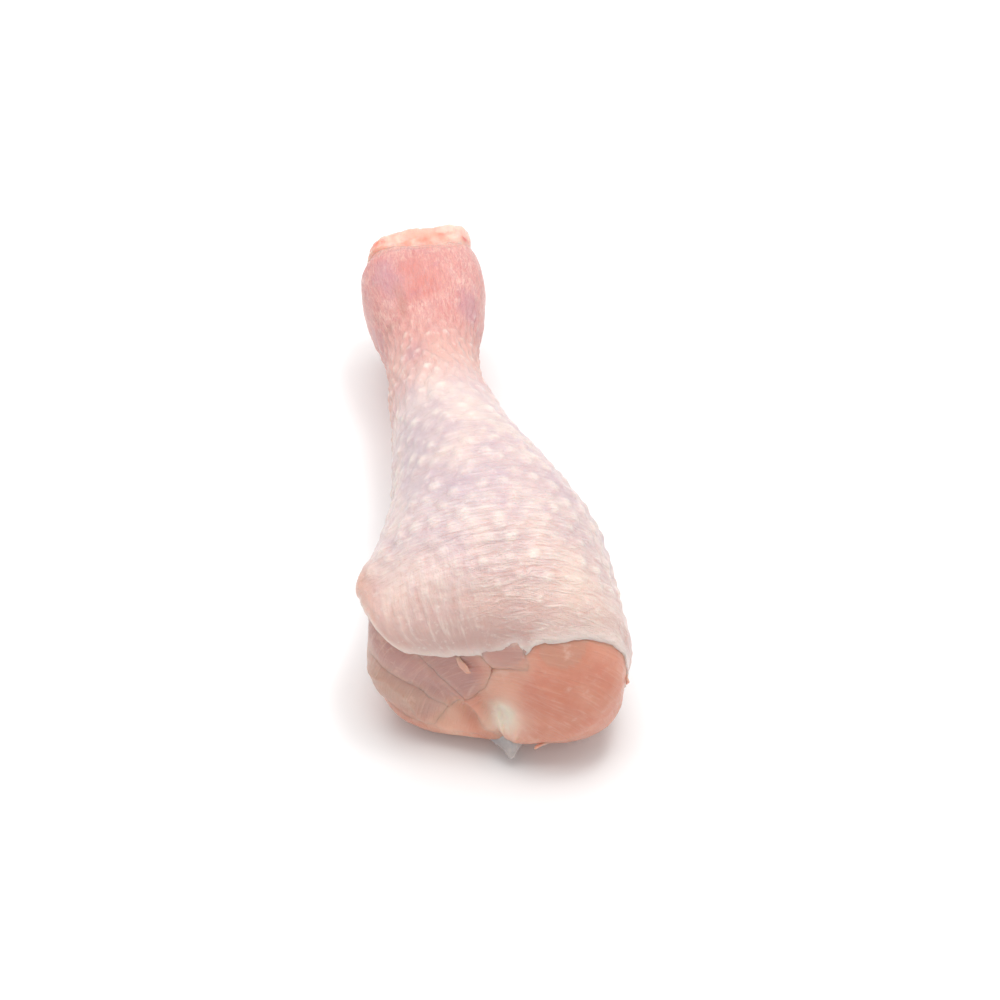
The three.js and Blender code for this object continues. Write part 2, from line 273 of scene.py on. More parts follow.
    def covered(self, offset):
        """How much an offset from the knee shrinks to stay under the meat, all but the bare tip of the bone."""
        reach = np.linalg.norm(offset)
        scale = self.knee_pole[1] / min(offset[1] / reach, -1e-3)
        x, z = scale * offset[0] / reach - self.knee_pole[0], scale * offset[2] / reach - self.knee_pole[2]
        s = math.atan(math.hypot(x, z)) * self.knee_arc * 2 / math.pi
        meat = self.read(self.meat, np.array([s]), np.array([math.atan2(z, x) % TURN]))[0]
        below = unit(self.knee_pole - np.array([0.0, 0.0, 0.07]))
        aside = math.acos(min(1.0, offset @ below / reach)) * self.knee_arc * 2 / math.pi
        free = 9 * (1 - smooth_step(2.0, 3.8, aside))
        return min(1.0, (meat - 1.3 + free) / reach)


def tree_of(names):
    """One search tree over several CAD nodes, and the place in names of the node that owns each face."""
    corners, faces, owners = [], [], []
    for number, name in enumerate(names):
        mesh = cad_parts[name].data
        start = len(corners)
        corners += [vertex.co.copy() for vertex in mesh.vertices]
        faces += [[start + v for v in polygon.vertices] for polygon in mesh.polygons]
        owners += [number] * len(mesh.polygons)
    return BVHTree.FromPolygons(corners, faces), np.array(owners)


def grown_labels(labels):
    """Labels with every unlabelled cell taken over by a labelled neighbour."""
    while (labels < 0).any():
        for rows, columns in ((1, 0), (-1, 0), (0, 1), (0, -1)):
            labels = np.where(labels < 0, shifted(labels, rows, columns), labels)
    return labels


def normals_of(points):
    """Outward normals of a grid of points whose columns go round."""
    around = np.roll(points, -1, axis=1) - np.roll(points, 1, axis=1)
    along = np.gradient(points, axis=0)
    return unit(np.cross(along, around))


# ---- Meshes


def placed(name, data):
    """A new object in the scene."""
    made = bpy.data.objects.new(name, data)
    bpy.context.scene.collection.objects.link(made)
    return made


def new_piece(name, points, faces, attributes, material):
    """A mesh object from points in millimetres, with one float attribute for each named list of values."""
    mesh = bpy.data.meshes.new(name)
    mesh.from_pydata((points * MM).tolist(), [], faces)
    mesh.polygons.foreach_set("use_smooth", np.ones(len(mesh.polygons), dtype=bool))
    for key, values in attributes.items():
        mesh.attributes.new(key, "FLOAT", "POINT").data.foreach_set("value", np.asarray(values, dtype=np.float32))
    mesh.materials.append(material)
    mesh.validate()
    return placed(name, mesh)


def ring_faces(rows, columns, joined):
    """Quads between successive rings, and from the last to the first if they are joined."""
    j = np.arange(columns)
    k = (j + 1) % columns
    faces = []
    for i in range(rows if joined else rows - 1):
        n = (i + 1) % rows
        faces.append(np.stack([i * columns + j, n * columns + j, n * columns + k, i * columns + k], 1))
    return np.concatenate(faces).tolist()


def slab(outer, inner, keep):
    """A closed solid over the kept cells of a grid that wraps: its outer side, its inner side and walls between."""
    rows, columns = keep.shape
    number = np.arange(rows * columns).reshape(rows, columns)
    whole = keep[:-1] & keep[1:] & np.roll(keep, -1, 1)[:-1] & np.roll(keep, -1, 1)[1:]
    a, b = number[:-1][whole], number[1:][whole]
    c, d = np.roll(number, -1, 1)[1:][whole], np.roll(number, -1, 1)[:-1][whole]
    quads = np.stack([a, b, c, d], 1)
    used, quads = np.unique(quads, return_inverse=True)
    quads = quads.reshape(-1, 4)
    count = len(used)
    edges = {(p, q) for quad in quads.tolist() for p, q in zip(quad, quad[1:] + quad[:1])}
    walls = [[q, p, p + count, q + count] for p, q in edges if (q, p) not in edges]
    points = np.concatenate([outer.reshape(-1, 3)[used], inner.reshape(-1, 3)[used]])
    faces = quads.tolist() + (quads[:, ::-1] + count).tolist() + walls
    return points, faces, used


# ---- Materials


def linear(colour):
    """Linear values of a colour given as the hex digits that a screen shows."""
    shown = [int(colour[i : i + 2], 16) / 255 for i in (0, 2, 4)]
    return tuple(c / 12.92 if c <= 0.04045 else ((c + 0.055) / 1.055) ** 2.4 for c in shown)


class Finish:
    """A procedural material being put together node by node."""

    def __init__(self, name, **sockets):
        self.material = bpy.data.materials.new(name)
        self.material.use_nodes = True
        self.tree = self.material.node_tree
        self.colours = bpy.context.scene.drumstick_colours
        self.shader = self.tree.nodes["Principled BSDF"]
        for key, value in sockets.items():
            self.shader.inputs[key.replace("_", " ")].default_value = value

    def node(self, kind, settings=None, **inputs):
        """A new node, its settings, and its inputs by name or by number after an underscore."""
        made = self.tree.nodes.new(kind)
        for key, value in (settings or {}).items():
            setattr(made, key, value)
        for key, value in inputs.items():
            socket = made.inputs[int(key[1:])] if key[1:].isdigit() else made.inputs[key.replace("_", " ")]
            self.feed(socket, value)
        return made

    def feed(self, socket, value):
        if isinstance(value, bpy.types.NodeSocket):
            self.tree.links.new(value, socket)
        else:
            socket.default_value = value

    def place(self, stretch=(1, 1, 1)):
        """Where on the piece a point is, stretched."""
        coordinates = self.node("ShaderNodeTexCoord").outputs["Object"]
        return self.node("ShaderNodeMapping", Vector=coordinates, Scale=stretch).outputs[0]

    def attribute(self, name):
        return self.node("ShaderNodeAttribute", {"attribute_name": name}).outputs["Fac"]

    def laid(self, across, along):
        """A place in millimetres round and along the piece, for grain that follows its form."""
        x = self.math("MULTIPLY", self.attribute("round_mm"), across)
        y = self.math("MULTIPLY", self.attribute("along_mm"), along)
        return self.node("ShaderNodeCombineXYZ", X=x, Y=y).outputs[0]

    def math(self, operation, a, b=0.0):
        return self.node("ShaderNodeMath", {"operation": operation}, _0=a, _1=b).outputs[0]

    def scaled(self, value, factor, offset):
        """A value times a factor, and an offset added."""
        return self.math("ADD", self.math("MULTIPLY", value, factor), offset)

    def mixed(self, share, first, second):
        """One number going over to another by a share."""
        return self.node("ShaderNodeMix", {"data_type": "FLOAT"}, _0=share, _2=first, _3=second).outputs[0]

    def noise(self, place, scale, detail=4.0, roughness=0.55, warp=0.0):
        grain = dict(Scale=scale, Detail=detail, Roughness=roughness, Distortion=warp)
        return self.node("ShaderNodeTexNoise", Vector=place, **grain).outputs[0]

    def between(self, value, low, high):
        """0 below low, 1 above high, smooth between."""
        made = self.node("ShaderNodeMapRange", {"interpolation_type": "SMOOTHSTEP"}, Value=value)
        made.inputs["From Min"].default_value = low
        made.inputs["From Max"].default_value = high
        return made.outputs[0]

    def blend(self, share, first, second):
        """One colour over another by a share."""
        made = self.node("ShaderNodeMix", {"data_type": "RGBA"}, Factor=share)
        for socket, colour in zip(made.inputs[6:8], (first, second)):
            if not isinstance(colour, bpy.types.NodeSocket):
                colour = (*(linear(colour) if isinstance(colour, str) else colour), 1.0)
            self.feed(socket, colour)
        return made.outputs[2]

    def over(self, colour, new, *shares):
        """A new colour over another by the product of some shares."""
        share = shares[0]
        for other in shares[1:]:
            share = self.math("MULTIPLY", share, other)
        return self.blend(share, colour, new)

    def marked(self, colour, *marks):
        """New colours over another where the piece is marked: each a mark, its colour and its strength."""
        for mark, new, strength in marks:
            colour = self.over(colour, new, self.attribute(mark), strength)
        return colour

    def bump(self, height, distance, strength=1.0, normal=None):
        made = self.node("ShaderNodeBump", Height=height, Distance=distance, Strength=strength)
        if normal is not None:
            self.feed(made.inputs["Normal"], normal)
        return made.outputs[0]

    def wear(self, colour, normal, roughness=None):
        """Joins the colour, normal and roughness to the shader."""
        self.feed(self.shader.inputs["Base Color"], colour)
        self.feed(self.shader.inputs["Normal"], normal)
        self.feed(self.shader.inputs["Coat Normal"], normal)
        if roughness is not None:
            self.feed(self.shader.inputs["Roughness"], roughness)
        return self.material


def skin_finish():
    """Raw skin: creamy to lilac, pale on the follicles, flushed at the ankle, thin and whitish at the knee edge;
    painted shade low at the knee end and in the ankle's folds, painted light on a patch low on the right and on the
    knee edge's shaded underside.
    """
    f = Finish(
        "raw_skin", Subsurface_Weight=0.3, Subsurface_Radius=(1.0, 0.45, 0.32), Subsurface_Scale=0.003, IOR=1.4,
        Coat_Weight=0.6, Coat_Roughness=0.2, Coat_IOR=1.35,
    )
    place = f.place()
    along = f.attribute("along_mm")
    broad = f.noise(place, 75, 3)
    colour = f.blend(f.between(broad, 0.36, 0.64), f.colours.skin_rose, f.colours.skin_cream)
    lilac = f.between(f.noise(f.place((1, 1, 1.3)), 110, 4), 0.46, 0.68)
    colour = f.over(colour, f.colours.skin_lilac, lilac, 0.5)
    colour = f.over(colour, "ccb9c5", f.attribute("lilac"), 0.42)
    knee = f.math("SUBTRACT", 1.0, f.between(along, 20, 48))
    colour = f.over(colour, "eac6b9", knee, 0.7)
    # Painted shade: the skin low at the knee end, turned away from the light above, is darkened, most on the left
    low = f.math("SUBTRACT", 1.0, f.between(along, 20, 36))
    side = f.scaled(f.attribute("left"), 0.6, 0.15)
    colour = f.over(colour, "c89e94", low, side)
    # Painted light: a lighter patch low on the right of the skin, where the shading falls darker
    colour = f.over(colour, "fbe2cf", f.attribute("painted_light"), 0.3)
    neck = f.between(along, 84, 106)
    colour = f.over(colour, "eaafa2", neck, 0.8)
    ankle = f.between(along, 104, 120)
    colour = f.over(colour, f.colours.ankle_skin, ankle, 0.85)
    fine = f.noise(f.laid(0.9, 0.55), 1.0, 6, 0.68, 1.4)
    colour = f.over(colour, "f8cfbf", ankle, f.between(fine, 0.5, 0.62), 0.65)
    colour = f.over(colour, "d68d8b", ankle, f.between(fine, 0.5, 0.38), 0.65)
    flush = f.between(f.noise(place, 130, 4, 0.6), 0.42, 0.66)
    colour = f.over(colour, "e08d86", ankle, flush, 0.45)
    colour = f.over(colour, "df7c72", f.attribute("flush"), f.between(fine, 0.38, 0.6), 0.6)
    # Painted shade: darker lines where the ankle skin folds
    colour = f.marked(colour, ("bruise", "cd959f", 0.6), ("painted_fold_shade", "c58a7c", 0.5))
    bruise = f.between(f.noise(place, 170, 4), 0.54, 0.7)
    colour = f.over(colour, "cf94a2", ankle, bruise, 0.35)
    creases = f.noise(f.laid(0.2, 0.95), 1.0, 5, 0.6, 1.8)
    streaks = f.noise(f.laid(0.8, 0.28), 1.0, 5, 0.62, 1.2)
    folds = f.noise(f.laid(0.8, 0.16), 1.0, 5, 0.6)
    wrinkles = f.mixed(f.attribute("low_left"), creases, folds)
    grain = f.mixed(f.between(along, 74, 100), wrinkles, streaks)
    plain = f.math("SUBTRACT", 1.0, f.math("MULTIPLY", f.between(along, 40, 56), 0.75))
    colour = f.over(colour, "d9a093", f.between(grain, 0.5, 0.7), 0.4, plain)
    colour = f.over(colour, "fff0e4", f.between(grain, 0.5, 0.3), 0.45, plain)
    follicle = f.attribute("follicle")
    colour = f.over(
        colour, f.colours.follicle, f.between(follicle, 0.15, 1.05), f.between(f.noise(place, 330, 3), 0.28, 0.6), 0.56
    )
    # The knee edge: thin, paler skin, lightened further as painted light over its shaded underside
    colour = f.marked(colour, ("fat", "eab29a", 0.9), ("edge", "f6dfd6", 0.8), ("hock_edge", "f8c6ba", 0.8))
    specks = f.between(f.noise(place, 800, 2), 0.6, 0.72)
    colour = f.over(colour, "fff3ea", specks, 0.25, f.math("SUBTRACT", 1.0, ankle))
    normal = f.bump(grain, 0.001, 0.6)
    normal = f.bump(f.noise(place, 650, 4, 0.6), 0.0005, 0.6, normal)
    roughness = f.scaled(f.noise(place, 240, 3), 0.35, 0.2)
    return f.wear(colour, normal, roughness)


# A slight tint of each muscle over the colours they share
MEAT_TINTS = {
    "outer_calf_muscle": "dd9a82",
    "thin_top_muscle": "d29a88",
    "inner_calf_muscle": "c89a8e",
    "shin_muscle": "c79a8d",
    "side_muscle": "d0a18d",
    "deep_muscle": "d99c86",
}


def meat_finish(name, tint):
    """Raw muscle: wet, translucent and finely fibrous, with pale tissue along its seams; painted light on the seams
    and on a shaded lip, painted shade in the valleys between muscles.
    """
    f = Finish(
        name, Subsurface_Weight=0.55, Subsurface_Radius=(1.0, 0.4, 0.26), Subsurface_Scale=0.003, IOR=1.4,
        Coat_Weight=0.35, Coat_Roughness=0.14, Coat_IOR=1.35,
    )
    place = f.place()
    colour = f.blend(f.between(f.noise(place, 95, 4), 0.36, 0.66), f.colours.flesh_deep, f.colours.flesh_light)
    colour = f.blend(0.3, colour, tint)
    colour = f.over(colour, "d5816b", f.between(f.noise(place, 150, 4), 0.5, 0.7), 0.4)
    colour = f.marked(colour, ("mauve", f.colours.flesh_mauve, 0.85), ("tan", "cba48f", 0.7), ("veil", "cda08c", 0.5))
    fibres = f.noise(f.laid(0.12, 2.4), 1.0, 4, 0.6, 0.4)
    colour = f.over(colour, "f3c8b6", f.between(fibres, 0.5, 0.7), 0.2)
    ragged = f.between(f.math("ADD", f.attribute("sheath"), f.math("MULTIPLY", f.noise(place, 420, 4), 0.4)), 0.5, 1.0)
    colour = f.over(colour, "edd3c6", ragged, 0.75)
    # Pale seams, partly real tissue and partly painted light over the shade where muscles meet; painted shade in the
    # valleys; painted light on the shaded lip low on the left
    colour = f.marked(colour, ("seam", "e9c4b4", 0.42), ("painted_seam_shade", "b9796b", 0.2), ("lip", "f3c3aa", 0.75))
    film = f.between(f.noise(place, 210, 5, 0.62), 0.56, 0.7)
    colour = f.over(colour, "f0cbbb", film, 0.35)
    colour = f.marked(colour, ("peach", "efb9a1", 0.6), ("gristle", "ffefdd", 0.95))
    normal = f.bump(fibres, 0.0008, 0.5)
    normal = f.bump(f.noise(place, 500, 3), 0.0004, 0.5, normal)
    roughness = f.scaled(f.noise(place, 300, 2), 0.3, 0.22)
    return f.wear(colour, normal, roughness)


def gristle_finish():
    """Wet cartilage and bone end: off-white going grey and yellowish, slightly translucent."""
    f = Finish(
        "gristle", Subsurface_Weight=0.5, Subsurface_Radius=(1.0, 0.7, 0.5), Subsurface_Scale=0.003, IOR=1.42,
        Coat_Weight=0.6, Coat_Roughness=0.1,
    )
    place = f.place()
    colour = f.blend(f.between(f.noise(place, 160, 4), 0.4, 0.62), "a39a99", f.colours.gristle)
    colour = f.over(colour, "d9b8a2", f.between(f.noise(place, 260, 4), 0.55, 0.7), 0.6)
    normal = f.bump(f.noise(place, 500, 4), 0.0004, 0.6)
    return f.wear(colour, normal, f.scaled(f.noise(place, 350, 2), 0.25, 0.2))


def sinew_finish():
    """Soft tissue at the ankle: salmon pink with orange fat, pale sinews and dark red spots."""
    f = Finish(
        "ankle_sinew", Subsurface_Weight=0.55, Subsurface_Radius=(1.0, 0.35, 0.22), Subsurface_Scale=0.004,
        IOR=1.4, Coat_Weight=0.45, Coat_Roughness=0.15,
    )
    place = f.place()
    colour = f.blend(f.between(f.noise(place, 180, 4), 0.4, 0.62), "f6b7a4", f.colours.sinew)
    colour = f.over(colour, "fbd9c8", f.between(f.noise(place, 330, 5), 0.54, 0.68), 0.7)
    flecks = f.between(f.noise(place, 260, 3), 0.62, 0.72)
    colour = f.over(colour, "e2705c", flecks, 0.5)
    colour = f.marked(colour, ("fat", "ee6a48", 0.8), ("blood", "d02a30", 0.85))
    normal = f.bump(f.noise(place, 700, 5, 0.65), 0.0006, 0.7)
    return f.wear(colour, normal, f.scaled(f.noise(place, 350, 2), 0.3, 0.22))


# ---- Settings


def length_setting(name, description, millimetres, **limits):
    """A length that can be set, kept in metres."""
    return FloatProperty(name=name, description=description, default=millimetres * MM, unit="LENGTH", **limits)


def colour_setting(name, description, default):
    """A colour that can be set."""
    return FloatVectorProperty(name=name, description=description, subtype="COLOR", default=default)


class DrumstickSizes(bpy.types.PropertyGroup):
    """Sizes of the drumstick's details, in metres."""

    grid: length_setting("Grid", "Spacing of the modelled surface", 0.53, min=0.3 * MM)
    follicle_pitch: length_setting("Follicle pitch", "Between neighbouring bumps", 4.7)
    follicle_height: length_setting("Follicle height", "Of a bump over the skin", 0.55)
    follicle_radius: length_setting("Follicle radius", "Of a bump", 1.5)
    crease_depth: length_setting("Crease depth", "Of the fine creases of the skin", 0.15)
    skin_edge: length_setting("Skin edge", "Height of the skin's thin edge on the meat", 0.6)
    groove_depth: length_setting("Groove depth", "Of the seams between the muscles", 0.3)


class DrumstickColours(bpy.types.PropertyGroup):
    """Main colours of the drumstick and of the table."""

    skin_cream: colour_setting("Cream skin", "The palest skin", linear("f0d9d2"))
    skin_rose: colour_setting("Rosy skin", "The skin's second colour", linear("dfc6c6"))
    skin_lilac: colour_setting("Lilac skin", "Where the meat shows through", linear("d0b5c1"))
    follicle: colour_setting("Follicles", "Tops of the bumps", linear("fff1e6"))
    ankle_skin: colour_setting("Ankle skin", "Skin towards the ankle", linear("e7a6a0"))
    flesh_light: colour_setting("Light flesh", "The palest meat", linear("e4a18a"))
    flesh_deep: colour_setting("Deep flesh", "The meat's second colour", linear("d88a70"))
    flesh_mauve: colour_setting("Mauve flesh", "Meat of the left side", linear("bd9089"))
    gristle: colour_setting("Gristle", "The bone's gristly heads", linear("c2bbb8"))
    sinew: colour_setting("Ankle tissue", "The stump at the ankle", linear("fdd0c1"))
    table: colour_setting("Table", "Colour of the table", (0.97, 0.97, 0.97))


_form = {}


def form():
    """The drumstick's form, measured once."""
    if "form" not in _form:
        _form["form"] = Form(bpy.context.scene.drumstick_sizes)
    return _form["form"]


# ---- Skin

# Where the skin is cut off at the knee: degrees round the form, and distance along it
KNEE_EDGE = (
    (0, 24.2), (15, 23.6), (28, 24.2), (36, 25.2), (46, 25.5), (56, 25.1), (66, 24.0), (74, 23.2), (77.4, 23.1),
    (79.6, 21.7), (81, 21.8), (84, 22.7), (90, 21.9), (97, 21.2), (104, 21.7), (112, 22.1), (123, 23.2),
    (131, 24.6), (137, 26.4), (141, 29.8), (146, 34.0), (152, 38.0), (160, 41.5), (172, 43.6), (190, 44.2),
    (208, 42.6), (227, 37.6), (243, 30.4), (258, 27.1), (275, 25.2), (300, 24.0), (330, 24.0),
)
# Where it is cut off at the hock
HOCK_EDGE = (
    (0, 138.6), (36, 140.0), (50, 138.4), (65, 137.4), (90, 137.6), (115, 137.9), (130, 137.8), (150, 137.9),
    (180, 137.2), (270, 137.2),
)
# Patches of colour on the skin, painted shade of folds and a painted pool of light among them: their mark, place along
# and degrees round the form, and half their length and width
SKIN_PATCHES = (
    ("bruise", 128.5, 128, 8.0, 4.0),
    ("bruise", 119.5, 47, 4.5, 3.5),
    ("bruise", 104.0, 116, 4.5, 4.0),
    ("flush", 124.5, 95, 4.5, 6.0),
    ("flush", 129.5, 108, 3.0, 4.0),
    # Painted shade of two folds in the ankle skin
    ("painted_fold_shade", 116.2, 143, 1.3, 4.0),
    ("painted_fold_shade", 121.0, 121, 5.5, 1.5),
    ("lilac", 51.0, 106, 15.0, 13.0),
    ("lilac", 74.0, 118, 12.0, 8.0),
    # A painted pool of light low on the right
    ("painted_light", 30.0, 54, 8.0, 9.0),
)


def along_edge(edge, phi):
    """An edge's place along the form at each angle."""
    degrees, places = zip(*edge)
    return np.interp(np.degrees(phi) % 360, degrees, places, period=360)


def skin_edges(phi):
    """Where the skin starts and ends along the form, a little ragged."""
    ring = np.stack([np.cos(phi), np.sin(phi), np.zeros_like(phi)], -1)
    start = along_edge(KNEE_EDGE, phi) + 0.4 * clouds(ring * 25, 3.2, 3) + 0.14 * cloud(ring * 25, 0.9, 4)
    end = along_edge(HOCK_EDGE, phi) + 0.7 * clouds(ring * 12, 5, 5) + 0.2 * cloud(ring * 12, 1.2, 6)
    return start, end


def follicle_centres(shape, sizes):
    """Places of the follicles as s, phi, radius and height: offset rows round the form, each a little astray."""
    random = np.random.default_rng(7)
    s = 19.0
    row = 0
    centres = []
    phi = np.linspace(0, TURN, 120, endpoint=False)
    while s < shape.end - shape.hock_arc:
        ring = shape.points(np.full_like(phi, s), phi, shape.read(shape.skin, np.full_like(phi, s), phi))
        round_mm = np.linalg.norm(ring - np.roll(ring, 1, 0), axis=1).sum()
        narrowing = mix(0.66, 1.0, smooth_step(60, 140, round_mm))
        pitch = sizes.follicle_pitch / MM * narrowing
        count = max(6, 2 * round(round_mm / pitch / 2))
        for k in range(count):
            angle = math.pi / 2 + (k + 0.5 * (row % 2)) * TURN / count
            astray = random.normal(0, 0.1, 2)
            size = narrowing * random.uniform(0.85, 1.15)
            height = sizes.follicle_height / MM * narrowing * random.uniform(0.45, 1.3)
            radius = sizes.follicle_radius / MM * size
            centres.append((s + astray[0] * pitch, angle + astray[1] * TURN / count, radius, height))
        s += pitch * 0.72
        row += 1
    return centres


def follicle_field(shape, points, s, sizes):
    """Height of the follicle bumps over a grid, and a mark from 0 to 1 for their colour."""
    height = np.zeros(s.shape)
    mark = np.zeros(s.shape)
    middle = s.mean(axis=1)
    points = points + 0.35 * np.stack([cloud(points, 1.9, 90 + axis) for axis in range(3)], -1)
    for at, angle, radius, bump in follicle_centres(shape, sizes):
        rows = np.where(np.abs(middle - at) < 16)[0]
        if len(rows) == 0:
            continue
        block = slice(rows[0], rows[-1] + 1)
        reach = shape.read(shape.skin, np.array([at]), np.array([angle % TURN]))
        centre = shape.points(np.array([at]), np.array([angle]), reach)[0]
        away = points[block] - centre
        along = away[..., 1]
        across = np.sqrt(np.maximum((away**2).sum(-1) - along**2, 0))
        dome = bell(np.hypot(across, along * 0.9), radius)
        height[block] = np.maximum(height[block], bump * dome)
        mark[block] = np.maximum(mark[block], dome * bump * MM / sizes.follicle_height)
    return height, np.clip(mark, 0, 1)


def skin_patch(shape, points, s, angle, patch):
    """1 inside one patch of colour, with a ragged soft edge."""
    _, along, degrees, half_length, half_width = patch
    reach = shape.read(shape.skin, np.array([along]), np.radians([degrees]))[0]
    across = turn_between(math.radians(degrees), angle) * reach
    away = np.hypot((s - along) / half_length, across / half_width) + 0.45 * clouds(points, 5.5, 37)
    return 1 - smooth_step(0.3, 1.3, away)


def make_skin(shape, sizes):
    """The skin sleeve: a closed sheet from the hock to the knee edge and back inside."""
    start, end = skin_edges(shape.phi)
    outer_rows = int(shape.rows * 0.86)
    s = mix(start, end, np.linspace(1, 0, outer_rows)[:, None])
    angle = np.broadcast_to(shape.phi, s.shape)
    meat = shape.read(shape.meat, s, angle)
    full = shape.read(shape.skin, s, angle) - meat
    from_edge = s - start
    flap = bell(turn_between(angle, math.radians(158)), math.radians(18))
    thickness = mix(mix(sizes.skin_edge / MM, 2.6, flap), full, smooth_step(0, 5, from_edge))
    thickness = mix(0.5, thickness, smooth_step(0, 3, end - s)) + 0.45 * bell(s - 130, 8)
    base = shape.points(s, angle, meat + thickness)
    normals = -normals_of(base)
    follicles, mark = follicle_field(shape, base, s, sizes)
    clear = smooth_step(1.5, 9, from_edge) * smooth_step(8, 26, end - s)
    low_left = (1 - smooth_step(30, 46, s)) * smooth_step(math.radians(84), math.radians(112), angle)
    low_left = low_left * (angle < math.radians(230))
    creased = 1 - smooth_step(34, 50, s)
    warp = 2.4 * clouds(base, 13, 20)
    creases = np.sin((s + warp) * TURN / 1.9) * (0.35 + 0.65 * cloud(base, 6, 22)) * creased
    folds = np.sin((np.degrees(angle) + 20 * clouds(base, 10, 27)) * TURN / 7) * low_left * bell(from_edge - 6, 9)
    lumps = 0.4 * clouds(base, 10, 31) + 0.1 * clouds(base, 2.4, 33)
    streaks = np.sin((angle * 11 + clouds(base, 9, 25) * 2.5) * 3) * bell(s - 98, 18) * 0.17
    roll = flap * bell(from_edge - 2.2, 2.4) * 0.7
    lift = follicles * clear * (1 - 0.75 * low_left) + sizes.crease_depth / MM * (creases + 0.8 * folds)
    lift = lift + (lumps + streaks) * smooth_step(0, 3, from_edge) + roll
    outer = base + normals * lift[..., None]
    share = np.linspace(0, 1, 14)[:, None]
    s_in = mix(start, end, share)
    angle_in = np.broadcast_to(shape.phi, s_in.shape)
    inner = shape.points(s_in, angle_in, shape.read(shape.meat, s_in, angle_in) - 0.5)
    lip = (outer[-1] + inner[0]) / 2 + 0.25 * unit(outer[-1] - outer[-4])
    rings = np.concatenate([outer, lip[None], inner])
    rings[..., 2] = np.maximum(rings[..., 2], 0.0)
    rows, columns = rings.shape[:2]

    def padded(values):
        return np.concatenate([values, np.broadcast_to(values[-1], (rows - len(values), columns))]).ravel()

    attributes = {
        "follicle": padded(mark * clear * (1 - 0.7 * low_left)),
        "along_mm": padded(s),
        "round_mm": padded(angle * RADIUS),
        # Thin skin at the knee edge: paler, and painted light on its shaded underside
        "edge": padded(1 - smooth_step(0, 2.4, from_edge)),
        "fat": padded(flap * (1 - smooth_step(5, 20, from_edge))),
        "low_left": padded(low_left),
        "hock_edge": padded(1 - smooth_step(0, 1.6, end - s)),
        # The left side, where the painted shade low on the skin is strongest
        "left": padded(smooth_step(math.radians(58), math.radians(96), angle) * (angle < math.radians(230))),
    }
    for kind in ("bruise", "flush", "painted_fold_shade", "lilac", "painted_light"):
        patches = [skin_patch(shape, base, s, angle, patch) for patch in SKIN_PATCHES if patch[0] == kind]
        attributes[kind] = padded(np.max(patches, axis=0))
    return new_piece("skin_sleeve", rings.reshape(-1, 3), ring_faces(rows, columns, True), attributes, skin_finish())


# ---- Muscles

# Strands of pale tissue over the meat: places along and degrees round the form, then width, lift and paleness
STRANDS = (
    (((19.4, 79), (17.6, 74), (16.2, 69), (15.9, 59), (16.1, 49), (14.9, 35)), 0.85, 0.35, 0.6),
    (((25.5, 133), (21.5, 139), (18.5, 147), (15.5, 158), (13.5, 170)), 0.5, 0.15, 0.7),
    (((33.0, 178), (26.5, 164), (23.2, 167), (20.5, 178), (18.5, 188)), 0.6, 0.35, 0.6),
    (((21.5, 98), (18.5, 104), (15.5, 116), (13.6, 128), (12.8, 142), (13.4, 160)), 0.8, 0.2, 0.7),
    (((20.0, 180), (15.5, 185), (12.0, 186), (8.5, 180), (6.0, 160), (4.8, 125), (4.2, 80)), 1.5, 1.1, 0.42),
    (((24.0, 136), (20.5, 141), (17.0, 151), (14.0, 166)), 0.5, 0.1, 0.5),
)
# Small loose tags of tissue: their muscle, place along and degrees round the form, length, width and lean
TAGS = (
    ("inner_calf_muscle", 20.6, 114, 4.6, 2.2, 118),
    ("outer_calf_muscle", 23.2, 24, 3.6, 1.3, 80),
    ("outer_calf_muscle", 6.5, 22, 4.0, 2.0, 10),
)


def distance_to_line(shape, line, points):
    """How far points are from a line over the meat given by places along and degrees round."""
    along, degrees = (np.interp(np.linspace(0, len(line) - 1, 70), np.arange(len(line)), part) for part in zip(*line))
    phi = np.radians(degrees)
    track = shape.points(along, phi, shape.read(shape.meat, along, phi))
    return np.sqrt(np.min(((points[..., None, :] - track) ** 2).sum(-1), axis=-1))


